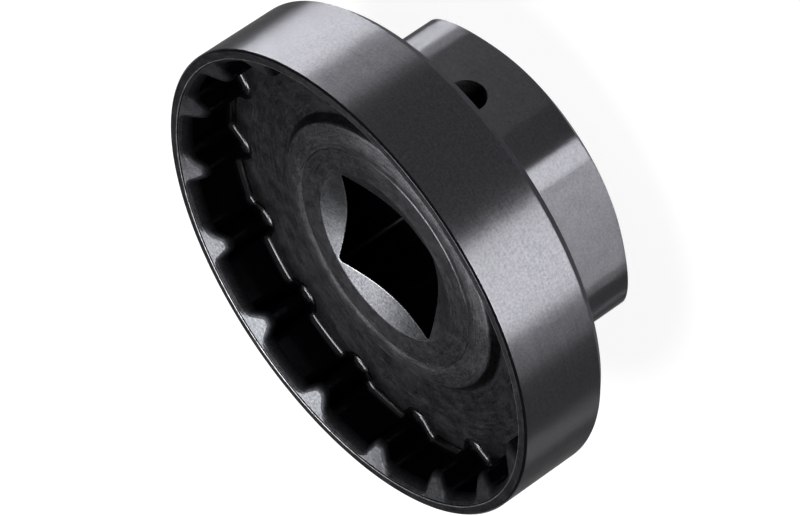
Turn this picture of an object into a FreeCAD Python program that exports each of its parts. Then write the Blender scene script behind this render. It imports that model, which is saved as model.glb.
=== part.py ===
import FreeCAD, Part
import math
import os
import Sketcher
from FreeCAD import Vector

# Bottom bracket socket, one piece of steel, in millimetres.
# A short wide cup with inner teeth stands mouth up on a hexagonal boss.
# Origin: centre of the boss's rear face. +Z: the turning axis, towards the mouth.
# The detent hole in the boss faces -Y, and a gap between two teeth lies above it.

SIZES = [
    ("ring_dia", 50.5, "outside of the cup"),
    ("ring_length", 10.2, "rim to the cup's rear face"),
    ("ring_wall", 1.75, "cup's wall behind a gap between teeth"),
    ("front_bevel", 0.2, "bevel on the rim's outer edge"),
    ("rear_bevel", 0.95, "bevel on the cup's rear edge"),
    ("rim_land", 0.82, "flat width of the rim"),
    ("lead_angle", 27.0, "lead-in cone, degrees from the rim's plane"),
    ("entry_bevel", 0.45, "bevel along the toothed edge of that cone"),
    ("cup_depth", 6.3, "rim to floor"),
    ("floor_bevel", 0.4, "bevel between the toothed wall and the floor"),
    ("teeth", 16, "number of teeth"),
    ("tooth_height", 1.8, "tooth from the wall to its tip"),
    ("tooth_base", 3.7, "tooth's width at the wall"),
    ("tooth_tip", 1.1, "tooth's width at its tip, before rounding"),
    ("tip_round", 0.9, "rounding of each edge of a tooth's tip"),
    ("root_round", 1.2, "rounding between a tooth's flank and the wall"),
    ("hub_dia", 24.2, "flat top of the raised hub"),
    ("hub_rise", 1.2, "floor to the hub's top"),
    ("hub_slope_width", 2.25, "gentle slope round the hub's top"),
    ("hub_slope_drop", 0.45, "fall of that slope"),
    ("hub_step_width", 0.7, "steeper step from the slope to the floor"),
    ("square_flats", 12.9, "square drive, across flats"),
    ("square_round", 0.5, "rounding in the square's corners"),
    ("sink_dia", 18.3, "mouth of the cones at both ends of the square"),
    ("sink_angle", 20.0, "slope of those cones, degrees from the face"),
    ("hex_flats", 32.0, "hexagonal boss, across flats"),
    ("hex_round", 6.4, "rounding of the hexagon's corners"),
    ("boss_length", 10.8, "rear face to the cup's rear face"),
    ("hex_bevel_inset", 0.1, "turned bevel's edge inside the flats"),
    ("hex_bevel_angle", 32.0, "turned bevel, degrees from the rear face"),
    ("hole_dia", 3.9, "detent hole"),
    ("hole_height", 6.2, "rear face to the detent hole's centre"),
]

# Heights above the rear face and radii from the axis, as expressions on the sheet
TOP = "(sizes.boss_length + sizes.ring_length)"
FLOOR = f"({TOP} - sizes.cup_depth)"
HUB_TOP = f"({FLOOR} + sizes.hub_rise)"
SHOULDER_TOP = f"({HUB_TOP} - sizes.hub_slope_drop)"
RING = "(sizes.ring_dia / 2)"
MOUTH = f"({RING} - sizes.front_bevel - sizes.rim_land)"
ROOT = f"({RING} - sizes.ring_wall)"
TIP = f"({ROOT} - sizes.tooth_height)"
PAST_TIP = f"({TIP} - sizes.tooth_height)"
HUB = "(sizes.hub_dia / 2)"
SHOULDER = f"({HUB} + sizes.hub_slope_width)"
FOOT = f"({SHOULDER} + sizes.hub_step_width)"
LEAD_DEPTH = f"(({MOUTH} - {PAST_TIP}) * tan(sizes.lead_angle * 1 deg))"
SINK = "(sizes.sink_dia / 2)"
SINK_DEPTH = f"({SINK} * tan(sizes.sink_angle * 1 deg))"
HEX = "(sizes.hex_flats / 2)"
HEX_CORNER = f"({HEX} / cos(30 deg))"
BEVEL = f"({HEX} - sizes.hex_bevel_inset)"
BEVEL_HEIGHT = f"(({HEX_CORNER} - {BEVEL}) * tan(sizes.hex_bevel_angle * 1 deg))"

# A gap between two teeth: its half angle at the wall and the corners of its outline
HALF_PITCH = "(180 deg / sizes.teeth)"
GAP_ANGLE = f"({HALF_PITCH} - asin(sizes.tooth_base / 2 / {ROOT}))"
FLANK = "atan((sizes.tooth_base - sizes.tooth_tip) / 2 / sizes.tooth_height)"
GAP_REACH = "(2 * sizes.tooth_height)"
ROOT_X = f"({ROOT} * cos({GAP_ANGLE}))"
ROOT_Y = f"({ROOT} * sin({GAP_ANGLE}))"
INNER_X = f"({ROOT_X} - {GAP_REACH})"
INNER_Y = f"({ROOT_Y} + {GAP_REACH} * tan({FLANK} - {HALF_PITCH}))"

# The tip's rounding leaves a little of the tip between its two edges
TIP_ROUND = f"min(sizes.tip_round; 0.45 * sizes.tooth_tip / tan((90 deg - {FLANK}) / 2))"

SAME = 1e-4

doc = FreeCAD.newDocument("socket")
sheet = doc.addObject("Spreadsheet::Sheet", "sizes")
for row, (alias, number, meaning) in enumerate(SIZES, start=1):
    sheet.set(f"A{row}", alias)
    sheet.set(f"B{row}", str(number))
    sheet.set(f"C{row}", meaning)
    sheet.setAlias(f"B{row}", alias)
doc.recompute()

body = doc.addObject("PartDesign::Body", "socket_body")
body.Label = "socket_body"


def value(expression):
    """The number that an expression on the sheet gives."""
    result = sheet.evalExpression(expression)
    return float(getattr(result, "Value", result))


def new_sketch(name, plane, height=None):
    """A sketch on one of the body's own planes, raised where a height is given."""
    sketch = body.newObject("Sketcher::SketchObject", name)
    support = next(item for item in body.Origin.OriginFeatures if item.Role == plane)
    sketch.AttachmentSupport = [(support, "")]
    sketch.MapMode = "FlatFace"
    if height is not None:
        sketch.setExpression("AttachmentOffset.Base.z", height)
    doc.recompute()
    return sketch


def join(sketch, first, first_end, second, second_end):
    """Two ends of a sketch's edges at one point."""
    sketch.addConstraint(Sketcher.Constraint("Coincident", first, first_end, second, second_end))


def drive(sketch, expression, kind, *places):
    """A dimension bound to the sheet."""
    index = sketch.addConstraint(Sketcher.Constraint(kind, *places, value(expression)))
    sketch.setExpression(f"Constraints[{index}]", expression)


def place(sketch, edge, end, across, up):
    """A point at given distances from the sketch's two axes."""
    for kind, axis, distance in (("DistanceX", -2, across), ("DistanceY", -1, up)):
        if distance == "0":
            sketch.addConstraint(Sketcher.Constraint("PointOnObject", edge, end, axis))
        else:
            drive(sketch, distance, kind, -1, 1, edge, end)


def polygon(sketch, points):
    """A closed run of straight lines through the points."""
    lines = [Part.LineSegment(point, points[i - 1]) for i, point in enumerate(points)]
    edges = sketch.addGeometry(lines, False)
    for i, edge in enumerate(edges):
        join(sketch, edge, 2, edges[i - 1], 1)
    return edges


def finish_cut(feature, before):
    """Recomputes a feature that cuts, and makes sure that it does."""
    doc.recompute()
    if feature.Shape.Volume >= before:
        raise RuntimeError(f"{feature.Name} cuts nothing")
    return feature


def turned(kind, name, corners):
    """A revolved solid or groove round the Z axis, from its section through the axis."""
    sketch = new_sketch(f"{name}_section", "XZ_Plane")
    points = [Vector(value(across), value(up), 0) for across, up in corners]
    for edge, (across, up) in zip(polygon(sketch, points), corners):
        place(sketch, edge, 1, across, up)
    before = body.Shape.Volume
    feature = body.newObject(f"PartDesign::{kind}", name)
    feature.Profile = sketch
    feature.ReferenceAxis = (sketch, ["V_Axis"])
    feature.Angle = 360
    if kind == "Groove":
        return finish_cut(feature, before)
    doc.recompute()
    return feature


def upright_edges(shape, radius):
    """Names of the edges along Z at a distance from the axis."""
    names = []
    for number, edge in enumerate(shape.Edges, start=1):
        first = edge.Vertexes[0].Point
        last = edge.Vertexes[-1].Point
        upright = math.hypot(first.x - last.x, first.y - last.y) < SAME < abs(first.z - last.z)
        if upright and abs(math.hypot(first.x, first.y) - radius) < SAME:
            names.append(f"Edge{number}")
    return names


def level_edges(shape, height, inner, outer):
    """Names of the level edges at a height between two distances from the axis."""
    names = []
    for number, edge in enumerate(shape.Edges, start=1):
        box = edge.BoundBox
        middle = edge.valueAt((edge.FirstParameter + edge.LastParameter) / 2)
        level = abs(box.ZMin - height) < SAME and abs(box.ZMax - height) < SAME
        if level and inner < math.hypot(middle.x, middle.y) < outer:
            names.append(f"Edge{number}")
    return names


def cone_edges(shape):
    """Names of the edges where the teeth's walls meet the lead-in cone."""
    names = []
    rise = math.tan(math.radians(value("sizes.lead_angle")))
    for number, edge in enumerate(shape.Edges, start=1):
        first, last = edge.ParameterRange
        points = [edge.valueAt(first + (last - first) * part) for part in (0.0, 0.5, 1.0)]
        radii = [math.hypot(point.x, point.y) for point in points]
        falls = [value(TOP) - point.z - (value(MOUTH) - r) * rise for point, r in zip(points, radii)]
        if max(abs(fall) for fall in falls) < SAME and max(radii) < value(ROOT) + SAME:
            names.append(f"Edge{number}")
    return names


def bevelled(name, base, edges, width):
    """An even chamfer on named edges of the feature before it."""
    chamfer = body.newObject("PartDesign::Chamfer", name)
    chamfer.Base = (base, edges)
    chamfer.setExpression("Size", width)
    return finish_cut(chamfer, base.Shape.Volume)


def rounded(name, base, edges, radius):
    """A fillet on named edges of the feature before it."""
    fillet = body.newObject("PartDesign::Fillet", name)
    fillet.Base = (base, edges)
    fillet.setExpression("Radius", radius)
    doc.recompute()
    return fillet


# Hexagonal boss with rounded corners, two of its flats facing -Y and +Y
hex_sketch = new_sketch("hexagon", "XY_Plane")
hex_radius = value(HEX_CORNER)
hex_turns = [math.radians(60 * i) for i in range(6)]
hex_edges = polygon(hex_sketch, [Vector(hex_radius * math.cos(t), hex_radius * math.sin(t), 0) for t in hex_turns])
hex_circle = hex_sketch.addGeometry(Part.Circle(Vector(0, 0, 0), Vector(0, 0, 1), hex_radius), True)
join(hex_sketch, hex_circle, 3, -1, 1)
drive(hex_sketch, HEX_CORNER, "Radius", hex_circle)
for edge in hex_edges:
    hex_sketch.addConstraint(Sketcher.Constraint("PointOnObject", edge, 1, hex_circle))
for edge in hex_edges[1:]:
    hex_sketch.addConstraint(Sketcher.Constraint("Equal", hex_edges[0], edge))
hex_sketch.addConstraint(Sketcher.Constraint("PointOnObject", hex_edges[0], 1, -1))
boss = body.newObject("PartDesign::Pad", "boss")
boss.Profile = hex_sketch
boss.setExpression("Length", "sizes.boss_length")
doc.recompute()
rounded("boss_round", boss, upright_edges(boss.Shape, hex_radius), "sizes.hex_round")

# Cup as a turned blank on the boss, with a bevel at each end
turned("Revolution", "ring", [
    ("0", "sizes.boss_length"),
    (f"{RING} - sizes.rear_bevel", "sizes.boss_length"),
    (RING, "sizes.boss_length + sizes.rear_bevel"),
    (RING, f"{TOP} - sizes.front_bevel"),
    (f"{RING} - sizes.front_bevel", TOP),
    ("0", TOP),
])

# Inside of the cup as far out as the teeth's tips, with the raised hub in its floor
cup = turned("Groove", "cup", [
    ("0", HUB_TOP),
    (HUB, HUB_TOP),
    (SHOULDER, SHOULDER_TOP),
    (FOOT, FLOOR),
    (TIP, FLOOR),
    (TIP, TOP),
    ("0", TOP),
])

# One gap between two teeth, on the +X side, and its copies round the axis
gap_sketch = new_sketch("gap_outline", "XY_Plane", TOP)
root_circle = Part.Circle(Vector(0, 0, 0), Vector(0, 0, 1), value(ROOT))
gap_turn = math.radians(value(GAP_ANGLE))
root_y = value(ROOT_Y)
inner_y = value(INNER_Y)
root_low = Vector(value(ROOT_X), -root_y, 0)
root_high = Vector(value(ROOT_X), root_y, 0)
inner_low = Vector(value(INNER_X), -inner_y, 0)
inner_high = Vector(value(INNER_X), inner_y, 0)
wall, low_flank, inner_side, high_flank = gap_sketch.addGeometry([
    Part.ArcOfCircle(root_circle, -gap_turn, gap_turn),
    Part.LineSegment(root_low, inner_low),
    Part.LineSegment(inner_low, inner_high),
    Part.LineSegment(inner_high, root_high),
], False)
join(gap_sketch, wall, 3, -1, 1)
join(gap_sketch, wall, 1, low_flank, 1)
join(gap_sketch, low_flank, 2, inner_side, 1)
join(gap_sketch, inner_side, 2, high_flank, 1)
join(gap_sketch, high_flank, 2, wall, 2)
drive(gap_sketch, ROOT, "Radius", wall)
drive(gap_sketch, ROOT_Y, "DistanceY", wall, 1, -1, 1)
drive(gap_sketch, ROOT_Y, "DistanceY", -1, 1, wall, 2)
drive(gap_sketch, INNER_X, "DistanceX", -1, 1, inner_side, 1)
drive(gap_sketch, INNER_Y, "DistanceY", inner_side, 1, -1, 1)
drive(gap_sketch, INNER_X, "DistanceX", -1, 1, inner_side, 2)
drive(gap_sketch, INNER_Y, "DistanceY", -1, 1, inner_side, 2)
gap = body.newObject("PartDesign::Pocket", "gap")
gap.Profile = gap_sketch
gap.setExpression("Length", "sizes.cup_depth")
finish_cut(gap, cup.Shape.Volume)
gaps = body.newObject("PartDesign::PolarPattern", "gaps")
gaps.Originals = [gap]
gaps.Axis = (gap_sketch, ["N_Axis"])
gaps.Angle = 360
gaps.setExpression("Occurrences", "sizes.teeth")
body.Tip = gaps
doc.recompute()

# Rounded tips and roots of the teeth, and the bevel where the floor meets the wall
tips = rounded("tips", gaps, upright_edges(gaps.Shape, value(TIP)), TIP_ROUND)
roots = rounded("roots", tips, upright_edges(tips.Shape, value(ROOT)), "sizes.root_round")
between_foot_and_tips = (value(FOOT) + value(TIP)) / 2
floor_corner = body.newObject("PartDesign::Chamfer", "floor_corner")
floor_corner.Base = (roots, level_edges(roots.Shape, value(FLOOR), between_foot_and_tips, value(RING)))
floor_corner.setExpression("Size", "sizes.floor_bevel")
doc.recompute()

# Lead-in cone, which slants the ends of the teeth, and the bevel along its toothed edge
lead_in = turned("Groove", "lead_in", [
    (MOUTH, TOP),
    (PAST_TIP, TOP),
    (PAST_TIP, f"{TOP} - {LEAD_DEPTH}"),
])
bevelled("entry", lead_in, cone_edges(lead_in.Shape), "sizes.entry_bevel")

# Shallow cone at each end of the square drive
turned("Groove", "front_sink", [
    (SINK, HUB_TOP),
    ("0", HUB_TOP),
    ("0", f"{HUB_TOP} - {SINK_DEPTH}"),
])
turned("Groove", "rear_sink", [
    (SINK, "0"),
    ("0", SINK_DEPTH),
    ("0", "0"),
])

# Turned bevel on the hexagon's rear corners
turned("Groove", "hex_bevel", [
    (BEVEL, "0"),
    (HEX_CORNER, "0"),
    (HEX_CORNER, BEVEL_HEIGHT),
])

# Square drive right through, with its flats facing along X and Y
square_sketch = new_sketch("square_outline", "XY_Plane")
side = value("sizes.square_flats / 2")
square_points = [Vector(-side, side, 0), Vector(side, side, 0), Vector(side, -side, 0), Vector(-side, -side, 0)]
square_edges = polygon(square_sketch, square_points)
for edge, direction in zip(square_edges, ("Vertical", "Horizontal", "Vertical", "Horizontal")):
    square_sketch.addConstraint(Sketcher.Constraint(direction, edge))
square_sketch.addConstraint(Sketcher.Constraint("Symmetric", square_edges[0], 1, square_edges[2], 1, -1, 1))
square_sketch.addConstraint(Sketcher.Constraint("Equal", square_edges[0], square_edges[1]))
drive(square_sketch, "sizes.square_flats", "Distance", square_edges[0])
before_square = body.Shape.Volume
square = body.newObject("PartDesign::Pocket", "square")
square.Profile = square_sketch
square.Type = "ThroughAll"
square.Reversed = True
finish_cut(square, before_square)
square_corners = upright_edges(square.Shape, side * math.sqrt(2))
rounded("square_corner", square, square_corners, "sizes.square_round")

# Detent hole, from the boss's -Y flat into the square
hole_sketch = new_sketch("hole_outline", "XZ_Plane")
hole_middle = Vector(0, value("sizes.hole_height"), 0)
hole_circle = Part.Circle(hole_middle, Vector(0, 0, 1), value("sizes.hole_dia / 2"))
hole_edge = hole_sketch.addGeometry(hole_circle, False)
place(hole_sketch, hole_edge, 3, "0", "sizes.hole_height")
drive(hole_sketch, "sizes.hole_dia / 2", "Radius", hole_edge)
before_hole = body.Shape.Volume
hole = body.newObject("PartDesign::Pocket", "hole")
hole.Profile = hole_sketch
hole.Type = "ThroughAll"
hole.Reversed = True
finish_cut(hole, before_hole)
body.Tip = hole
doc.recompute()

# Every object has to be sound before anything is written
for item in doc.Objects:
    if "Invalid" in item.State or "Error" in item.State:
        raise RuntimeError(f"{item.Name} failed: {item.State}")
if body.Shape.isNull() or not body.Shape.isValid() or len(body.Shape.Solids) != 1:
    raise RuntimeError("The socket is not one sound solid")

os.makedirs("parts", exist_ok=True)
body.Shape.exportStep(os.path.join("parts", f"{body.Label}.step"))
print(f"{body.Label}: {body.Shape.Volume:.0f} cubic mm")
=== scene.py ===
"""A bottom bracket socket of black-oxide steel on a pale floor."""

import math

import bpy
from bpy.props import FloatProperty, FloatVectorProperty, IntProperty, PointerProperty
from bpy.types import Operator, Panel, PropertyGroup
from mathutils import Matrix, Vector


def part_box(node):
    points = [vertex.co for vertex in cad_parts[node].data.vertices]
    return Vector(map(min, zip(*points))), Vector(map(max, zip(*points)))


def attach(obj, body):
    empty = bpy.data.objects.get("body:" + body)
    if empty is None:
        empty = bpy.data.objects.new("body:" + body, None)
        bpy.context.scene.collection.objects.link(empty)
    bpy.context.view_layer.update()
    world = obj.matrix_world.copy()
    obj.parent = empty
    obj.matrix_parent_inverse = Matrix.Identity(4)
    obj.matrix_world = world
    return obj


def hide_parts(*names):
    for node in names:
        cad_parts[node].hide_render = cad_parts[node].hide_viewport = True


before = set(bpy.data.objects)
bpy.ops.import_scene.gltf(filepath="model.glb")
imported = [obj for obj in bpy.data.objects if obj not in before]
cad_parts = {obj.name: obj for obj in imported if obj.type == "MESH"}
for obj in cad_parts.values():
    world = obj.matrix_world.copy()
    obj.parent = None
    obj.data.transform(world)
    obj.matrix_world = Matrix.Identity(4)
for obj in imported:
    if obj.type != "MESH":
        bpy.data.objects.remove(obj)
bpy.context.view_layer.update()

bl_info = {
    "name": "Bottom Bracket Socket",
    "version": (1, 0, 0),
    "blender": (4, 5, 0),
    "location": "View3D > Sidebar > Socket",
    "description": "Builds a toothed steel socket with its finish, floor, lamps and camera",
    "category": "Object",
}

MM = 0.001
NODE = "socket_body"
BODY = "root"
LOW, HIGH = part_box(NODE)

# The steels of the socket; a face's zone is its steel's place in this list
STEELS = ("Face steel", "Wall steel", "Boss steel", "Cut steel", "Grainy steel", "Edge steel",
          "Entry steel", "Hub steel", "Slope steel", "Foot steel")
FACE, WALL, BOSS, CUT, GRAINY, EDGE, ENTRY, HUB, SLOPE, FOOT = range(len(STEELS))

# How finely one half of a tooth is divided: tip, tip rounding, flank, root rounding, wall
TOOTH_STEPS = (1, 6, 2, 5, 6)

# The share of an edge that a rounding may take, where the edge's other end is rounded or isn't
SHARED_ROOM = 0.42
OWN_ROOM = 0.82
# An extra point lies just outside each rounding, at this many times the rounding's reach
OUTSIDE = 1.2

# Small forms of the ring's and the boss's sections
GROOVE_SIDE = 0.1 * MM
HUB_ROUND = 0.2 * MM
SHOULDER_ROUND = 0.28 * MM
CREST_ROUND = 0.06 * MM
LAND_ROUND = 0.03 * MM
NECK_ROUND = 0.2 * MM
ENTRY_REACH = 0.66 * MM
STEP_GAP = 0.02 * MM
DIP_FADE = 0.5 * MM

# The detent hole's drill: its sides, and its length as a share of the flat's distance from the axis
DRILL_SIDES = 96
DRILL_LENGTH = 0.8

# Points closer than this are one, and an edge that bends by more radians than this stays sharp
SAME_PLACE = 0.001 * MM
SHARP_BEND = 0.5

# The middle part of a noise texture's range, which the materials stretch to a full one
NOISE_LOW = 0.3
NOISE_HIGH = 0.7

# The mottling's patches, what the steel's tone is mixed from, and how far its roughness swings
PATCH_SIZE = 1.5 * MM
TONE_WEIGHTS = {"Mottle": 0.2, "Grain": 0.5, "Marks": 0.3}
MARKS_IN_ROUGHNESS = 0.04
MOTTLE_IN_ROUGHNESS = 0.03

# How deep the marks are on polished and on matt steel, against those on turned faces
POLISHED_DEPTH = 0.12
MATT_DEPTH = 3.0
QUARTER_TURN = 0.25

# Each lamp's direction and height in degrees, its width and height in metres, and its watts
LAMPS = {
    "side_lamp": (-17.5, 0.0, (0.35, 0.02), 11.5),
    "side_fill": (-46.0, 0.0, (0.24, 0.02), 2.0),
    "front_lamp": (-154.8, 0.0, (0.37, 0.02), 12.8),
    "front_fill": (176.0, 0.0, (0.16, 0.02), 0.8),
    "back_lamp": (127.0, 0.0, (0.11, 0.02), 0.36),
    "top_lamp": (60.0, 78.0, (0.36, 0.36), 4.1),
}
LAMP_DISTANCE = 0.5


def length(name, description, millimetres):
    """A length that the user sets, stored in metres."""
    return FloatProperty(name=name, description=description, default=millimetres * MM,
                         min=0.0, precision=5, unit="LENGTH", subtype="DISTANCE")


def angle(name, description, degrees):
    """An angle that the user sets."""
    return FloatProperty(name=name, description=description, default=math.radians(degrees),
                         unit="ROTATION", subtype="ANGLE")


def share(name, description, default):
    """A number from 0 to 1."""
    return FloatProperty(name=name, description=description, default=default, min=0.0, max=1.0,
                         subtype="FACTOR")


def colour(name, description, default):
    """A plain colour."""
    return FloatVectorProperty(name=name, description=description, default=default, size=3,
                               min=0.0, max=1.0, subtype="COLOR")


class SocketSizes(PropertyGroup):
    """Sizes of the socket."""

    ring_dia: FloatProperty(name="Ring diameter", description="Outside of the toothed ring",
                            default=HIGH[0] - LOW[0], unit="LENGTH")
    height: FloatProperty(name="Height", description="Rear face to rim",
                          default=HIGH[2] - LOW[2], unit="LENGTH")
    ring_length: length("Ring length", "Rim to the ring's rear face", 10.2)
    ring_wall: length("Ring wall", "Wall behind a gap between teeth", 1.75)
    front_bevel: length("Front bevel", "Bevel on the rim's outer edge", 0.2)
    rear_bevel: length("Rear bevel", "Bevel on the ring's rear edge", 0.95)
    rim_land: length("Rim land", "Flat width of the rim", 0.82)
    crest_step: length("Crest step", "Short steep step from the rim down to the lead-in cone", 0.14)
    crest_run: length("Crest run", "Width of that step", 0.11)
    lead_angle: angle("Lead-in angle", "Slope of the lead-in cone", 26.0)
    cup_depth: length("Cup depth", "Rim to floor", 6.3)
    floor_round: length("Floor rounding", "Rounding between floor and teeth", 0.75)
    teeth: IntProperty(name="Teeth", description="Number of teeth", default=16, min=3)
    tooth_height: length("Tooth height", "Wall to tip", 1.8)
    tooth_base: length("Tooth base", "Tooth's width at the wall", 3.7)
    tooth_tip: length("Tooth tip", "Tooth's width at the tip, before rounding", 1.1)
    tip_round: length("Tip rounding", "Rounding of each edge of a tip", 0.9)
    root_round: length("Root rounding", "Rounding between flank and wall", 1.2)
    entry_round: length("Entry rounding", "Reach of the rounding along the teeth's entry edge", 0.6)
    entry_dip: length("Entry dip", "How much lower that edge lies in the gaps", 0.42)
    hub_dia: length("Hub diameter", "Flat top of the raised hub", 24.2)
    hub_rise: length("Hub rise", "Floor to the hub's top", 1.2)
    hub_groove_inset: length("Hub groove inset", "Groove round the hub's flat, inside its edge", 0.23)
    hub_groove_depth: length("Hub groove depth", "Depth of that groove", 0.07)
    hub_lip_width: length("Hub lip width", "Lip that rises outward from the groove", 0.45)
    hub_lip_rise: length("Hub lip rise", "Lip's height over the flat", 0.02)
    hub_rim_width: length("Hub rim width", "Gentle slope outside the lip", 0.6)
    hub_rim_drop: length("Hub rim drop", "Fall of that slope", 0.035)
    hub_slope_width: length("Hub slope width", "Steeper slope round that one", 1.3)
    hub_slope_drop: length("Hub slope drop", "Fall of the steeper slope", 0.2)
    hub_step_width: length("Hub step width", "Step from the slopes to the floor", 0.65)
    square_flats: length("Square", "Square drive across flats", 12.9)
    square_round: length("Square rounding", "Rounding in the square's corners", 0.5)
    sink_dia: length("Sink diameter", "Mouth of the cone at each end of the square", 18.3)
    sink_angle: angle("Sink angle", "Slope of those cones", 20.0)
    hex_flats: length("Hexagon", "Boss across flats", 32.0)
    hex_round: length("Hexagon rounding", "Rounding of the boss's corners", 6.4)
    hex_bevel_inset: length("Bevel inset", "Turned bevel's edge inside the flats", 0.1)
    hex_bevel_angle: angle("Bevel angle", "Slope of the turned bevel", 32.0)
    hole_dia: length("Hole diameter", "Detent hole", 3.9)
    hole_height: length("Hole height", "Rear face to the hole's centre", 6.2)
    edge_break: length("Edge break", "Tiny rounding left on most edges", 0.09)


class SocketFinish(PropertyGroup):
    """Finish of the black-oxide steel."""

    steel: colour("Steel", "Black oxide on steel", (0.044, 0.044, 0.048))
    cut_colour: colour("Cut steel", "Teeth's and square's walls, rim's fine bevels", (0.038, 0.038, 0.042))
    grainy_colour: colour("Grainy steel", "Cones, with a matter and paler oxide", (0.075, 0.077, 0.083))
    edge_colour: colour("Edge steel", "Roundings where the oxide is worn thin", (0.26, 0.26, 0.27))
    # Entry steel is darker than the steel of the cones: painted shade on the teeth's entry edge and the
    # rear bevel
    entry_painted_shade_colour: colour("Entry steel", "Rear bevel and the teeth's entry edge", (0.030, 0.031, 0.035))
    hub_colour: colour("Hub steel", "Flat top of the hub", (0.060, 0.060, 0.065))
    # Slope steel is the face finish with a paler colour than the hub's top
    slope_colour: colour("Slope steel", "Slopes round the hub, paler than the hub's top", (0.080, 0.080, 0.086))
    # Foot steel is paler than the cut steel beside it: painted highlight along the rounding at the teeth's
    # feet
    foot_painted_highlight_colour: colour("Foot steel", "Rounding between floor and teeth", (0.075, 0.075, 0.080))
    roughness: share("Roughness", "Roughness of the ring's wall", 0.40)
    boss_roughness: share("Boss roughness", "Roughness of the boss", 0.35)
    brushing: share("Brushing", "How far the turning marks stretch a highlight", 1.0)
    edge_tint: share("Edge tint", "How much of a grazing reflection is left", 0.5)
    face_roughness: share("Face roughness", "Roughness of the hub, the floor and the rim", 0.38)
    cut_roughness: share("Cut roughness", "Roughness of the teeth and the square's walls", 0.16)
    grainy_roughness: share("Grainy roughness", "Roughness of the cones", 0.38)
    edge_roughness: share("Edge roughness", "Roughness of the worn edges", 0.35)
    entry_roughness: share("Entry roughness", "Roughness of the teeth's entry edge", 0.5)
    foot_roughness: share("Foot roughness", "Roughness of the rounding at the teeth's feet", 0.22)
    mark_width: length("Mark width", "Spacing of the fine turning marks", 0.12)
    mark_depth: length("Mark depth", "Depth of the fine turning marks", 0.0012)
    grain_size: length("Grain size", "Grain of the countersinks and the lead-in cone", 0.12)


class SocketStudio(PropertyGroup):
    """Floor, surroundings and camera."""

    floor_colour: colour("Floor", "Colour of the floor", (0.15, 0.15, 0.15))
    floor_glow: share("Floor glow", "How far the floor is lifted to white", 0.9)
    world_level: share("World", "Brightness of the surroundings overhead", 0.12)
    horizon_level: share("Horizon", "Brightness of the backdrop at the horizon", 0.5)
    horizon_height: angle("Horizon height", "Height at which the backdrop has gone dark", 10.0)
    camera_azimuth: angle("Azimuth", "Camera's direction round the socket", -30.3)
    camera_elevation: angle("Elevation", "Camera's height above the rim's plane", 25.2)
    camera_roll: angle("Roll", "Camera turned about its own axis", -124.1)
    camera_distance: length("Distance", "Camera to the plane of the rim's centre", 484.8)
    camera_across: length("Rim across", "Rim's centre right of the picture's centre", -5.295)
    camera_up: length("Rim up", "Rim's centre above the picture's centre", -2.588)
    camera_lens: FloatProperty(name="Lens", description="Focal length for a 36 mm sensor",
                               default=234.0, subtype="DISTANCE_CAMERA", unit="CAMERA")


def softened(path, cuts, steps):
    """A path of corners with each corner rounded, and a point just outside each rounding."""
    points = [path[0]]
    for i in range(1, len(path) - 1):
        corner = path[i]
        count = steps[i]
        if count == 0:
            points.append(corner)
            continue
        back = path[i - 1] - corner
        ahead = path[i + 1] - corner
        back_room = back.length * (SHARED_ROOM if steps[i - 1] else OWN_ROOM)
        ahead_room = ahead.length * (SHARED_ROOM if steps[i + 1] else OWN_ROOM)
        cut = min(cuts[i], back_room, ahead_room)
        start = corner + back.normalized() * cut
        end = corner + ahead.normalized() * cut
        points.append(corner + (start - corner) * OUTSIDE)
        for k in range(count + 1):
            t = k / count
            points.append(start * (1 - t) ** 2 + corner * 2 * t * (1 - t) + end * t ** 2)
        points.append(corner + (end - corner) * OUTSIDE)
    points.append(path[-1])
    return points


def tooth_outline(sizes):
    """Points and inward normals round one pitch, from gap to gap, with a tooth along +X."""
    root = sizes.ring_dia / 2 - sizes.ring_wall
    tip = root - sizes.tooth_height
    slope = math.atan((sizes.tooth_base - sizes.tooth_tip) / 2 / sizes.tooth_height)
    base_turn = math.asin(sizes.tooth_base / 2 / root)
    corner = Vector((math.cos(base_turn), math.sin(base_turn))) * root
    inward = Vector((-math.cos(slope), -math.sin(slope)))
    normal = Vector((-math.sin(slope), math.cos(slope)))

    def centre(offset, distance):
        """Centre of a rounding beside the flank, at a distance from the axis."""
        start = corner + normal * offset
        along = start.dot(inward)
        return start + inward * (-along - math.sqrt(along ** 2 - start.length_squared + distance ** 2))

    def arc(middle, radius, first, last, count, side):
        """Points on an arc between two directions, with their inward normals."""
        row = []
        for k in range(count):
            turn = first + (last - first) * k / count
            out = Vector((math.cos(turn), math.sin(turn)))
            row.append((middle + out * radius, out * side))
        return row

    tip_centre = centre(-sizes.tip_round, tip + sizes.tip_round)
    root_centre = centre(sizes.root_round, root - sizes.root_round)
    tip_turn = math.atan2(tip_centre.y, tip_centre.x)
    root_turn = math.atan2(root_centre.y, root_centre.x)
    flank_turn = math.atan2(normal.y, normal.x)
    flank_start = tip_centre + normal * sizes.tip_round
    flank_end = root_centre - normal * sizes.root_round
    tips, tip_arc, flank, root_arc, wall = TOOTH_STEPS
    origin = Vector((0.0, 0.0))
    half = arc(origin, tip, 0.0, tip_turn, tips, -1)
    half += arc(tip_centre, sizes.tip_round, tip_turn + math.pi, flank_turn, tip_arc, 1)
    half += [(flank_start.lerp(flank_end, k / flank), normal) for k in range(flank)]
    half += arc(root_centre, sizes.root_round, flank_turn - math.pi, root_turn, root_arc, -1)
    half += arc(origin, root, root_turn, math.pi / sizes.teeth, wall, -1)
    end = Vector((math.cos(math.pi / sizes.teeth), math.sin(math.pi / sizes.teeth)))
    half.append((end * root, -end))
    other = [(Vector((p.x, -p.y)), Vector((n.x, -n.y))) for p, n in reversed(half[1:])]
    return other + half


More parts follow.
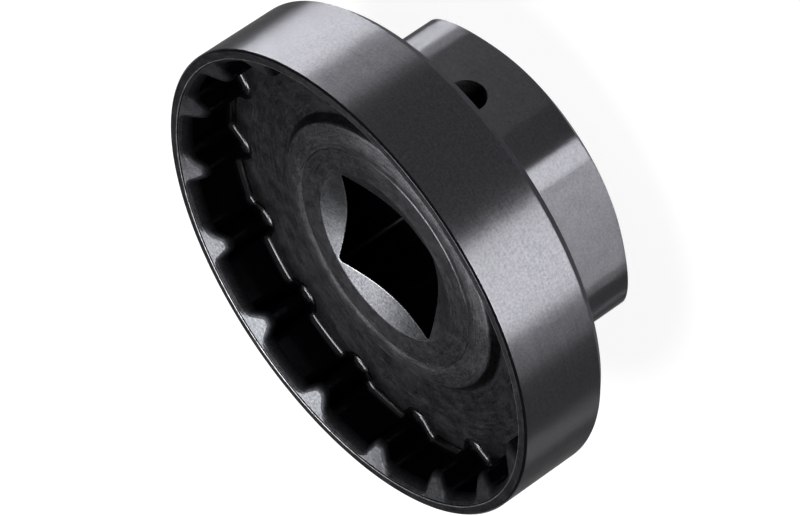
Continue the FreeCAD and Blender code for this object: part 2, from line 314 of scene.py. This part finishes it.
def rounded_polygon(sides, apothem, rounding, turn):
    """Distance from the axis to a regular polygon with rounded corners, one flat facing turn 0."""
    half = math.pi / sides
    off = abs((turn + half) % (2 * half) - half)
    if apothem * math.tan(off) <= (apothem - rounding) * math.tan(half):
        return apothem / math.cos(off)
    centre = (apothem - rounding) / math.cos(half)
    left = half - off
    return centre * math.cos(left) + math.sqrt(rounding ** 2 - (centre * math.sin(left)) ** 2)


def polar(radius, turn, height):
    """A point given by its distance from the axis, direction and height."""
    return Vector((radius * math.cos(turn), radius * math.sin(turn), height))


def grid_mesh(name, columns, zones, closed):
    """A mesh from columns of points, with a zone number on each face between two rows."""
    rows = len(columns[0])
    vertices = [point for column in columns for point in column]
    count = len(columns) if closed else len(columns) - 1
    faces = []
    marks = []
    for i in range(count):
        j = (i + 1) % len(columns)
        for k in range(rows - 1):
            faces.append((i * rows + k, j * rows + k, j * rows + k + 1, i * rows + k + 1))
            marks.append(zones[k])
    mesh = bpy.data.meshes.new(name)
    mesh.from_pydata(vertices, [], faces)
    mesh.attributes.new("zone", "INT", "FACE").data.foreach_set("value", marks)
    mesh.update()
    return mesh


def zone_rows(steps, zones, roundings):
    """The zone of each strip of faces along a softened path; a rounding can have its own."""
    rows = []
    for k, zone in enumerate(zones):
        rows.append(zone)
        count = steps[k + 1] if k + 1 < len(zones) else 0
        if count:
            first = roundings.get(k + 1, zone)
            second = roundings.get(k + 1, zones[k + 1])
            rows += [zone] + [first] * (count // 2) + [second] * (count - count // 2) + [zones[k + 1]]
    return rows


def joint_front(sizes):
    """Radius on the hub's top where the ring and the boss meet."""
    return (sizes.hub_dia + sizes.sink_dia) / 4


def joint_rear(sizes):
    """Radius on the ring's rear face where the ring and the boss meet."""
    return sizes.hex_flats / 2 / math.cos(math.pi / 6)


# The steel of each strip between two corners of a ring column, and of whole roundings
RING_ZONES = (HUB, SLOPE, SLOPE, SLOPE, SLOPE, FACE, FACE, FACE, CUT, GRAINY, GRAINY, CUT, FACE, CUT,
              WALL, ENTRY, FACE)
RING_ROUNDINGS = {8: FOOT, 9: ENTRY, 12: EDGE}


def ring_column(sizes, point, normal):
    """Corners of one section of the ring, from the hub's top over the teeth to the rear face.

    Each corner has its place, the reach of its rounding and the rounding's number of steps.
    """
    top = sizes.height
    back = top - sizes.ring_length
    ring = sizes.ring_dia / 2
    root = ring - sizes.ring_wall
    mouth = ring - sizes.front_bevel - sizes.rim_land
    floor = top - sizes.cup_depth
    hub = sizes.hub_dia / 2
    hub_top = floor + sizes.hub_rise
    groove = hub - sizes.hub_groove_inset
    lip = hub + sizes.hub_lip_width
    lip_top = hub_top + sizes.hub_lip_rise
    hub_rim = lip + sizes.hub_rim_width
    rim_low = lip_top - sizes.hub_rim_drop
    shoulder = hub_rim + sizes.hub_slope_width
    foot = shoulder + sizes.hub_step_width
    steep = math.tan(sizes.lead_angle)
    turn = math.atan2(point.y, point.x)
    inside = point + normal * sizes.floor_round * OUTSIDE
    step_foot = mouth - sizes.crest_run
    soft = sizes.edge_break

    def cone_height(radius):
        """Height of the lead-in cone at a distance from the axis."""
        return top - sizes.crest_step - (step_foot - radius) * steep

    # The entry rounding ends on the cone, short of the step under the rim
    outside = point - normal * ENTRY_REACH
    limit = step_foot - STEP_GAP
    if outside.length > limit:
        outside = point - normal * ENTRY_REACH * (limit - point.length) / (outside.length - point.length)
    dip = sizes.entry_dip * min(1.0, max(0.0, (point.length - root) / DIP_FADE + 1.0))
    return [
        (polar(joint_front(sizes), turn, hub_top), 0.0, 0),
        (polar(groove - GROOVE_SIDE, turn, hub_top), 0.0, 0),
        (polar(groove, turn, hub_top - sizes.hub_groove_depth), 0.0, 0),
        (polar(lip, turn, lip_top), HUB_ROUND, 3),
        (polar(hub_rim, turn, rim_low), HUB_ROUND, 2),
        (polar(shoulder, turn, rim_low - sizes.hub_slope_drop), SHOULDER_ROUND, 4),
        (polar(foot, turn, floor), HUB_ROUND, 3),
        (Vector((inside.x, inside.y, floor)), 0.0, 0),
        (Vector((point.x, point.y, floor)), sizes.floor_round, 8),
        (Vector((point.x, point.y, cone_height(point.length) - dip)), sizes.entry_round, 8),
        (Vector((outside.x, outside.y, cone_height(outside.length))), 0.0, 0),
        (polar(step_foot, turn, top - sizes.crest_step), 0.0, 0),
        (polar(mouth, turn, top), CREST_ROUND, 3),
        (polar(ring - sizes.front_bevel, turn, top), LAND_ROUND, 2),
        (polar(ring, turn, top - sizes.front_bevel), soft, 2),
        (polar(ring, turn, back + sizes.rear_bevel), soft, 3),
        (polar(ring - sizes.rear_bevel, turn, back), soft, 3),
        (polar(joint_rear(sizes), turn, back), 0.0, 0),
    ]


# The steel of each strip between two corners of a boss column, and of whole roundings
BOSS_ZONES = (HUB, GRAINY, CUT, GRAINY, FACE, FACE, BOSS, FACE)
BOSS_ROUNDINGS = {2: EDGE, 3: EDGE}


def boss_column(sizes, turn):
    """Corners of one section of the boss, from the hub's top down the square and round to the ring."""
    back = sizes.height - sizes.ring_length
    hub_top = sizes.height - sizes.cup_depth + sizes.hub_rise
    sink = sizes.sink_dia / 2
    square = rounded_polygon(4, sizes.square_flats / 2, sizes.square_round, turn)
    sink_depth = (sink - square) * math.tan(sizes.sink_angle)
    hexagon = rounded_polygon(6, sizes.hex_flats / 2, sizes.hex_round, turn + math.pi / 2)
    bevel = sizes.hex_flats / 2 - sizes.hex_bevel_inset
    bevel_height = (hexagon - bevel) * math.tan(sizes.hex_bevel_angle)
    soft = sizes.edge_break
    return [
        (polar(joint_front(sizes), turn, hub_top), 0.0, 0),
        (polar(sink, turn, hub_top), soft, 2),
        (polar(square, turn, hub_top - sink_depth), soft, 3),
        (polar(square, turn, sink_depth), soft, 3),
        (polar(sink, turn, 0.0), soft, 2),
        (polar(bevel, turn, 0.0), soft, 2),
        (polar(hexagon, turn, bevel_height), soft, 3),
        (polar(hexagon, turn, back), NECK_ROUND, 3),
        (polar(joint_rear(sizes), turn, back), 0.0, 0),
    ]


def softened_grid(name, sections, zones, roundings, closed):
    """A grid mesh from unrounded sections."""
    steps = [count for _, _, count in sections[0]] + [0]
    columns = []
    for section in sections:
        path = [point for point, _, _ in section]
        cuts = [cut for _, cut, _ in section]
        columns.append(softened(path, cuts, steps))
    return grid_mesh(name, columns, zone_rows(steps, zones, roundings), closed)


def link(tree, source, target):
    """Joins two sockets of a node tree."""
    tree.links.new(source, target)


def add(tree, kind, **settings):
    """A node with its settings; a socket is named by its words, joined by underscores."""
    node = tree.nodes.new(kind)
    for name, setting in settings.items():
        if hasattr(node, name):
            setattr(node, name, setting)
            continue
        socket = node.inputs[name.replace("_", " ")]
        if isinstance(setting, bpy.types.NodeSocket):
            link(tree, setting, socket)
        else:
            socket.default_value = setting
    return node


def maths(tree, operation, *terms):
    """The result of a Math node on numbers or sockets."""
    node = tree.nodes.new("ShaderNodeMath")
    node.operation = operation
    for socket, term in zip(node.inputs, terms):
        if isinstance(term, bpy.types.NodeSocket):
            link(tree, term, socket)
        else:
            socket.default_value = term
    return node.outputs[0]


def repeated_teeth(tree, given):
    """One tooth's sector set round the axis once for each tooth, and joined to the boss."""
    pitch = maths(tree, "DIVIDE", 2 * math.pi, given["Teeth"])
    index = tree.nodes.new("GeometryNodeInputIndex").outputs[0]
    turn = maths(tree, "MULTIPLY", maths(tree, "ADD", index, 0.5), pitch)
    spin = add(tree, "ShaderNodeCombineXYZ", Z=turn)
    places = add(tree, "GeometryNodePoints", Count=given["Teeth"])
    teeth = add(tree, "GeometryNodeInstanceOnPoints", Points=places.outputs[0],
                Instance=given["Geometry"], Rotation=spin.outputs[0])
    boss = add(tree, "GeometryNodeObjectInfo", Object=given["Boss"])
    whole = tree.nodes.new("GeometryNodeJoinGeometry")
    link(tree, teeth.outputs[0], whole.inputs[0])
    link(tree, boss.outputs["Geometry"], whole.inputs[0])
    real = add(tree, "GeometryNodeRealizeInstances", Geometry=whole.outputs[0])
    merged = add(tree, "GeometryNodeMergeByDistance", Geometry=real.outputs[0], Distance=SAME_PLACE)
    return merged.outputs[0]


def drilled_hole(tree, given, solid):
    """The detent hole, which ends inside the wall: half of the drill stands in it, half outside."""
    drill_length = maths(tree, "MULTIPLY", given["Flat distance"], DRILL_LENGTH)
    drill = add(tree, "GeometryNodeMeshCylinder", Vertices=DRILL_SIDES, Radius=given["Hole radius"],
                Depth=drill_length)
    flat = maths(tree, "MULTIPLY", given["Flat distance"], -1.0)
    place = add(tree, "ShaderNodeCombineXYZ", Y=flat, Z=given["Hole height"])
    moved = add(tree, "GeometryNodeTransform", Geometry=drill.outputs["Mesh"],
                Translation=place.outputs[0])
    moved.inputs["Rotation"].default_value = (math.pi / 2, 0.0, 0.0)
    drilled = add(tree, "GeometryNodeMeshBoolean", operation="DIFFERENCE", solver="EXACT", Mesh_1=solid)
    link(tree, moved.outputs[0], drilled.inputs["Mesh 2"])
    return drilled.outputs["Mesh"]


def smooth_shading(tree, solid):
    """Smooth shading, except on sharp edges; every rounding bends less than those at each step."""
    bend = tree.nodes.new("GeometryNodeInputMeshEdgeAngle")
    gentle = add(tree, "FunctionNodeCompare", operation="LESS_THAN")
    link(tree, bend.outputs["Unsigned Angle"], gentle.inputs[0])
    gentle.inputs[1].default_value = SHARP_BEND
    smooth = add(tree, "GeometryNodeSetShadeSmooth", domain="EDGE", Geometry=solid,
                 Shade_Smooth=gentle.outputs[0])
    return smooth.outputs[0]


def body_tree():
    """A node tree that repeats a tooth round the axis, adds the boss and drills the detent hole."""
    tree = bpy.data.node_groups.new("Toothed socket", "GeometryNodeTree")
    face = tree.interface
    face.new_socket("Geometry", in_out="OUTPUT", socket_type="NodeSocketGeometry")
    face.new_socket("Geometry", in_out="INPUT", socket_type="NodeSocketGeometry")
    inputs = [("Boss", "Object"), ("Teeth", "Int"), ("Hole radius", "Float"), ("Hole height", "Float"),
              ("Flat distance", "Float")]
    inputs += [(name, "Material") for name in STEELS]
    for name, kind in inputs:
        face.new_socket(name, in_out="INPUT", socket_type=f"NodeSocket{kind}")
    given = tree.nodes.new("NodeGroupInput").outputs
    drilled = drilled_hole(tree, given, repeated_teeth(tree, given))
    result = add(tree, "GeometryNodeRealizeInstances", Geometry=smooth_shading(tree, drilled))
    zone = add(tree, "GeometryNodeInputNamedAttribute", data_type="INT")
    zone.inputs["Name"].default_value = "zone"
    for number, name in enumerate(STEELS):
        same = add(tree, "FunctionNodeCompare", data_type="INT", operation="EQUAL")
        link(tree, zone.outputs["Attribute"], same.inputs["A"])
        same.inputs["B"].default_value = number
        result = add(tree, "GeometryNodeSetMaterial", Geometry=result.outputs[0],
                     Selection=same.outputs[0], Material=given[name])
    out = tree.nodes.new("NodeGroupOutput")
    link(tree, result.outputs[0], out.inputs[0])
    return tree


def new_object(name, data):
    """An object in the scene."""
    made = bpy.data.objects.new(name, data)
    bpy.context.scene.collection.objects.link(made)
    return made


def applied(maker, name):
    """A plain mesh object with what the maker's modifier gives; the maker is removed."""
    depsgraph = bpy.context.evaluated_depsgraph_get()
    mesh = bpy.data.meshes.new_from_object(maker.evaluated_get(depsgraph), depsgraph=depsgraph)
    mesh.name = name
    bpy.data.objects.remove(maker)
    return new_object(name, mesh)


def marks_group():
    """Fine marks that run round the axis, slow mottling and fine grain, for every steel."""
    tree = bpy.data.node_groups.new("Turning marks", "ShaderNodeTree")
    face = tree.interface
    for name, default in (("Width", 0.1 * MM), ("Run", 3 * MM), ("Patch", 4 * MM)):
        socket = face.new_socket(name, in_out="INPUT", socket_type="NodeSocketFloat")
        socket.default_value = default
    for name in ("Marks", "Mottle", "Grain"):
        face.new_socket(name, in_out="OUTPUT", socket_type="NodeSocketFloat")
    given = tree.nodes.new("NodeGroupInput").outputs
    place = tree.nodes.new("ShaderNodeTexCoord").outputs["Object"]
    parts = add(tree, "ShaderNodeSeparateXYZ", Vector=place).outputs
    across = maths(tree, "SQRT", maths(tree, "ADD", maths(tree, "POWER", parts["X"], 2.0),
                                       maths(tree, "POWER", parts["Y"], 2.0)))

    # A mark's run is measured on a circle of this radius; the axis itself is kept out
    circle = 20 * MM
    safe = maths(tree, "MAXIMUM", across, 1 * MM)
    lap = maths(tree, "DIVIDE", circle, given["Run"])
    around = add(tree, "ShaderNodeCombineXYZ",
                 X=maths(tree, "MULTIPLY", maths(tree, "DIVIDE", parts["X"], safe), lap),
                 Y=maths(tree, "MULTIPLY", maths(tree, "DIVIDE", parts["Y"], safe), lap),
                 Z=maths(tree, "DIVIDE", parts["Z"], given["Width"]))
    marks = add(tree, "ShaderNodeTexNoise", noise_dimensions="4D", Vector=around.outputs[0],
                W=maths(tree, "DIVIDE", across, given["Width"]), Scale=1.0, Detail=2.0, Roughness=0.6)
    mottle = add(tree, "ShaderNodeTexNoise", Vector=place, Detail=4.0, Roughness=0.6,
                 Scale=maths(tree, "DIVIDE", 1.0, given["Patch"]))
    grain = add(tree, "ShaderNodeTexNoise", Vector=place, Detail=2.0, Roughness=0.6,
                Scale=maths(tree, "DIVIDE", 0.5, given["Width"]))
    out = tree.nodes.new("NodeGroupOutput")
    for name, texture in (("Marks", marks), ("Mottle", mottle), ("Grain", grain)):
        link(tree, texture.outputs[0], out.inputs[name])
    return tree


def spread(tree, value, low, high):
    """A noise value mapped to a range."""
    node = add(tree, "ShaderNodeMapRange")
    link(tree, value, node.inputs["Value"])
    node.inputs["From Min"].default_value = NOISE_LOW
    node.inputs["From Max"].default_value = NOISE_HIGH
    node.inputs["To Min"].default_value = low
    node.inputs["To Max"].default_value = high
    return node.outputs[0]


def weighted(tree, values, weights):
    """The sum of named values, each times its weight."""
    terms = [maths(tree, "MULTIPLY", values[name], weight) for name, weight in weights.items()]
    total = terms[0]
    for term in terms[1:]:
        total = maths(tree, "ADD", total, term)
    return total


def steel_material(name, group, shade, tint, roughness, brushing, width, run, depth, grain, wave, tone):
    """Black-oxide steel: marks, grain and mottling feed its colour, roughness and bump.

    Width, run and depth are the marks'; grain and wave say how much of the grain and the
    mottling joins them in the bump, and tone how far the colour swings.
    """
    material = bpy.data.materials.new(name)
    material.use_nodes = True
    tree = material.node_tree
    tree.nodes.clear()
    marks = add(tree, "ShaderNodeGroup", node_tree=group, Width=width, Run=run, Patch=PATCH_SIZE).outputs
    shader = tree.nodes.new("ShaderNodeBsdfPrincipled")
    shader.inputs["Metallic"].default_value = 1.0
    shader.inputs["Specular Tint"].default_value = (tint, tint, tint, 1.0)
    cloud = weighted(tree, marks, TONE_WEIGHTS)
    mix = add(tree, "ShaderNodeMix", data_type="RGBA", Factor=spread(tree, cloud, 0.0, 1.0))
    mix.inputs["A"].default_value = (*[part * (1 - tone) for part in shade], 1.0)
    mix.inputs["B"].default_value = (*[part * (1 + tone) for part in shade], 1.0)
    link(tree, mix.outputs["Result"], shader.inputs["Base Color"])
    low_rough = roughness - MARKS_IN_ROUGHNESS
    high_rough = roughness + MARKS_IN_ROUGHNESS
    rough = maths(tree, "ADD", spread(tree, marks["Marks"], low_rough, high_rough),
                  spread(tree, marks["Mottle"], -MOTTLE_IN_ROUGHNESS, MOTTLE_IN_ROUGHNESS))
    link(tree, rough, shader.inputs["Roughness"])
    shader.inputs["Anisotropic"].default_value = brushing
    shader.inputs["Anisotropic Rotation"].default_value = QUARTER_TURN
    tangent = add(tree, "ShaderNodeTangent", direction_type="RADIAL", axis="Z")
    link(tree, tangent.outputs[0], shader.inputs["Tangent"])
    height = weighted(tree, marks, {"Marks": 1.0, "Grain": grain, "Mottle": wave})
    bump = add(tree, "ShaderNodeBump", Strength=1.0, Distance=depth, Height=height)
    link(tree, bump.outputs[0], shader.inputs["Normal"])
    out = tree.nodes.new("ShaderNodeOutputMaterial")
    link(tree, shader.outputs[0], out.inputs["Surface"])
    return material


def steel_materials(finish):
    """The material of each steel, by the steel's name."""
    depth = finish.mark_depth
    turned = {"group": marks_group(), "tint": finish.edge_tint, "width": finish.mark_width, "depth": depth}
    walls = {**turned, "brushing": finish.brushing}
    faces = {**turned, "brushing": 0.2, "run": 2 * MM, "roughness": finish.face_roughness,
             "grain": 1.0, "wave": 3.0, "tone": 0.8}
    polished = {**turned, "depth": POLISHED_DEPTH * depth, "brushing": 0.0, "run": 1 * MM,
                "grain": 0.4, "wave": 0.0, "tone": 0.1}
    matt = {**turned, "width": finish.grain_size, "depth": MATT_DEPTH * depth, "brushing": 0.0,
            "run": 0.5 * MM, "grain": 1.0}
    worn = {**polished, "tint": 1.0, "depth": depth, "tone": 0.9}
    return {
        "Face steel": steel_material("face_steel", shade=finish.steel, **faces),
        "Wall steel": steel_material("wall_steel", shade=finish.steel, roughness=finish.roughness,
                                     run=3 * MM, grain=0.5, wave=8.0, tone=0.4, **walls),
        "Boss steel": steel_material("boss_steel", shade=finish.steel, roughness=finish.boss_roughness,
                                     run=6 * MM, grain=0.3, wave=5.0, tone=0.3, **walls),
        "Cut steel": steel_material("cut_steel", shade=finish.cut_colour,
                                    roughness=finish.cut_roughness, **polished),
        "Grainy steel": steel_material("grainy_steel", shade=finish.grainy_colour,
                                       roughness=finish.grainy_roughness, wave=1.0, tone=0.7, **matt),
        "Edge steel": steel_material("edge_steel", shade=finish.edge_colour,
                                     roughness=finish.edge_roughness, **worn),
        # The entry steel's darker colour is painted shade on the teeth's entry edge and the rear bevel
        "Entry steel": steel_material("entry_steel_painted_shade", shade=finish.entry_painted_shade_colour,
                                      roughness=finish.entry_roughness, wave=0.0, tone=0.5, **matt),
        "Hub steel": steel_material("hub_steel", shade=finish.hub_colour, **faces),
        "Slope steel": steel_material("slope_steel", shade=finish.slope_colour, **faces),
        # The foot steel's paler colour is painted highlight along the rounding at the teeth's feet
        "Foot steel": steel_material("foot_steel_painted_highlight", shade=finish.foot_painted_highlight_colour,
                                     roughness=finish.foot_roughness, **polished),
    }


class SOCKET_OT_body(Operator):
    """Builds the socket's one steel piece, with its teeth, boss and detent hole"""

    bl_idname = "socket.body"
    bl_label = "Socket Body"

    def execute(self, context):
        sizes = context.scene.socket_sizes
        outline = tooth_outline(sizes)
        sector = new_object("tooth_sector", softened_grid(
            "tooth_sector", [ring_column(sizes, point, normal) for point, normal in outline],
            RING_ZONES, RING_ROUNDINGS, closed=False))

        # The boss has a column at each direction that the teeth have one at, so that they join
        turns = [math.atan2(point.y, point.x) for point, _ in outline[:-1]]
        pitch = 2 * math.pi / sizes.teeth
        laps = [turn + (k + 0.5) * pitch for k in range(sizes.teeth) for turn in turns]
        boss = new_object("boss", softened_grid(
            "boss", [boss_column(sizes, turn) for turn in laps], BOSS_ZONES, BOSS_ROUNDINGS, closed=True))
        values = {
            "Boss": boss,
            "Teeth": sizes.teeth,
            "Hole radius": sizes.hole_dia / 2,
            "Hole height": sizes.hole_height,
            "Flat distance": sizes.hex_flats / 2,
            **steel_materials(context.scene.socket_finish),
        }
        modifier = sector.modifiers.new("Toothed socket", "NODES")
        modifier.node_group = body_tree()
        for item in modifier.node_group.interface.items_tree:
            if item.name in values and item.in_out == "INPUT":
                modifier[item.identifier] = values[item.name]
        piece = applied(sector, "toothed_socket")
        bpy.data.objects.remove(boss)
        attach(piece, BODY)
        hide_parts(NODE)
        return {"FINISHED"}


def lamp(name, turn, rise, size, power, target):
    """An area lamp in a direction round the socket, aimed at a point."""
    data = bpy.data.lights.new(name, "AREA")
    data.shape = "RECTANGLE"
    data.size, data.size_y = size
    data.energy = power
    made = new_object(name, data)
    away = Vector((math.cos(rise) * math.cos(turn), math.cos(rise) * math.sin(turn), math.sin(rise)))
    made.location = target + away * LAMP_DISTANCE
    made.rotation_euler = away.to_track_quat("Z", "Y").to_euler()
    return made


class SOCKET_OT_stage(Operator):
    """Lays the pale floor and sets up the lamps, the surroundings and the camera"""

    bl_idname = "socket.stage"
    bl_label = "Socket Stage"

    def execute(self, context):
        studio = context.scene.socket_studio
        sizes = context.scene.socket_sizes
        self.lay_floor(studio)
        self.set_world(context.scene, studio)
        self.hang_lamps(sizes)
        self.place_camera(context.scene, studio, sizes)
        context.scene.view_settings.view_transform = "Standard"
        return {"FINISHED"}

    def lay_floor(self, studio):
        """A wide floor that shows white and keeps the socket's shadow."""
        mesh = bpy.data.meshes.new("floor")
        reach = 6.0
        mesh.from_pydata([(-reach, -reach, 0), (reach, -reach, 0), (reach, reach, 0), (-reach, reach, 0)],
                         [], [(0, 1, 2, 3)])
        floor = new_object("floor", mesh)
        material = bpy.data.materials.new("pale_floor")
        material.use_nodes = True
        tree = material.node_tree
        shader = tree.nodes["Principled BSDF"]
        shader.inputs["Base Color"].default_value = (*studio.floor_colour, 1.0)
        shader.inputs["Roughness"].default_value = 0.9
        shader.inputs["Specular IOR Level"].default_value = 0.1
        shader.inputs["Emission Color"].default_value = (1.0, 1.0, 1.0, 1.0)
        rays = tree.nodes.new("ShaderNodeLightPath").outputs
        seen = maths(tree, "MAXIMUM", rays["Is Camera Ray"],
                     maths(tree, "MAXIMUM", rays["Is Glossy Ray"], rays["Is Transmission Ray"]))
        link(tree, maths(tree, "MULTIPLY", seen, studio.floor_glow), shader.inputs["Emission Strength"])
        mesh.materials.append(material)

    def set_world(self, scene, studio):
        """Dark grey surroundings that grow paler at the horizon, like a pale backdrop."""
        world = bpy.data.worlds.new("surroundings")
        world.use_nodes = True
        tree = world.node_tree
        background = tree.nodes["Background"]
        background.inputs["Color"].default_value = (1.0, 1.0, 1.0, 1.0)
        place = tree.nodes.new("ShaderNodeTexCoord").outputs["Generated"]
        up = add(tree, "ShaderNodeSeparateXYZ", Vector=place).outputs["Z"]
        fade = add(tree, "ShaderNodeMapRange", interpolation_type="SMOOTHSTEP")
        link(tree, up, fade.inputs["Value"])
        fade.inputs["From Min"].default_value = 0.0
        fade.inputs["From Max"].default_value = math.sin(studio.horizon_height)
        fade.inputs["To Min"].default_value = studio.horizon_level
        fade.inputs["To Max"].default_value = studio.world_level
        link(tree, fade.outputs["Result"], background.inputs["Strength"])
        scene.world = world

    def hang_lamps(self, sizes):
        """Low lamps, which stay under the rim's plane, for the streaks on the walls, and one overhead."""
        middle = Vector((0.0, 0.0, sizes.height / 2))
        for name, (turn, rise, size, power) in LAMPS.items():
            lamp(name, math.radians(turn), math.radians(rise), size, power, middle)

    def place_camera(self, scene, studio, sizes):
        """The camera at the photograph's viewing angle."""
        data = bpy.data.cameras.new("camera")
        data.sensor_width = 36.0
        data.lens = studio.camera_lens
        data.clip_start = 0.01
        made = new_object("camera", data)
        turn = studio.camera_azimuth
        rise = studio.camera_elevation
        away = Vector((math.sin(turn) * math.cos(rise), -math.cos(turn) * math.cos(rise), math.sin(rise)))
        level = away.to_track_quat("Z", "Y").to_matrix()
        rotation = level @ Matrix.Rotation(studio.camera_roll, 3, "Z")
        rim = Vector((0.0, 0.0, sizes.height))
        seen = Vector((studio.camera_across, studio.camera_up, -studio.camera_distance))
        made.matrix_world = Matrix.LocRotScale(rim - rotation @ seen, rotation, None)
        scene.camera = made


class SOCKET_PT_panel(Panel):
    """Lists the socket's operators and sizes"""

    bl_idname = "SOCKET_PT_panel"
    bl_label = "Bottom Bracket Socket"
    bl_space_type = "VIEW_3D"
    bl_region_type = "UI"
    bl_category = "Socket"

    def draw(self, context):
        for operator in (SOCKET_OT_body, SOCKET_OT_stage):
            self.layout.operator(operator.bl_idname)
        for group in (context.scene.socket_sizes, context.scene.socket_finish, context.scene.socket_studio):
            box = self.layout.box()
            for name in group.bl_rna.properties.keys():
                if name not in {"rna_type", "name"}:
                    box.prop(group, name)


CLASSES = (SocketSizes, SocketFinish, SocketStudio, SOCKET_OT_body, SOCKET_OT_stage, SOCKET_PT_panel)


def register():
    """Registers the classes and their settings on the scene."""
    for cls in CLASSES:
        bpy.utils.register_class(cls)
    bpy.types.Scene.socket_sizes = PointerProperty(type=SocketSizes)
    bpy.types.Scene.socket_finish = PointerProperty(type=SocketFinish)
    bpy.types.Scene.socket_studio = PointerProperty(type=SocketStudio)


def unregister():
    """Takes the settings and classes away again."""
    del bpy.types.Scene.socket_studio
    del bpy.types.Scene.socket_finish
    del bpy.types.Scene.socket_sizes
    for cls in reversed(CLASSES):
        bpy.utils.unregister_class(cls)


def main():
    """Builds the socket and its stage."""
    register()
    bpy.ops.socket.body()
    bpy.ops.socket.stage()


if __name__ == "__main__":
    main()
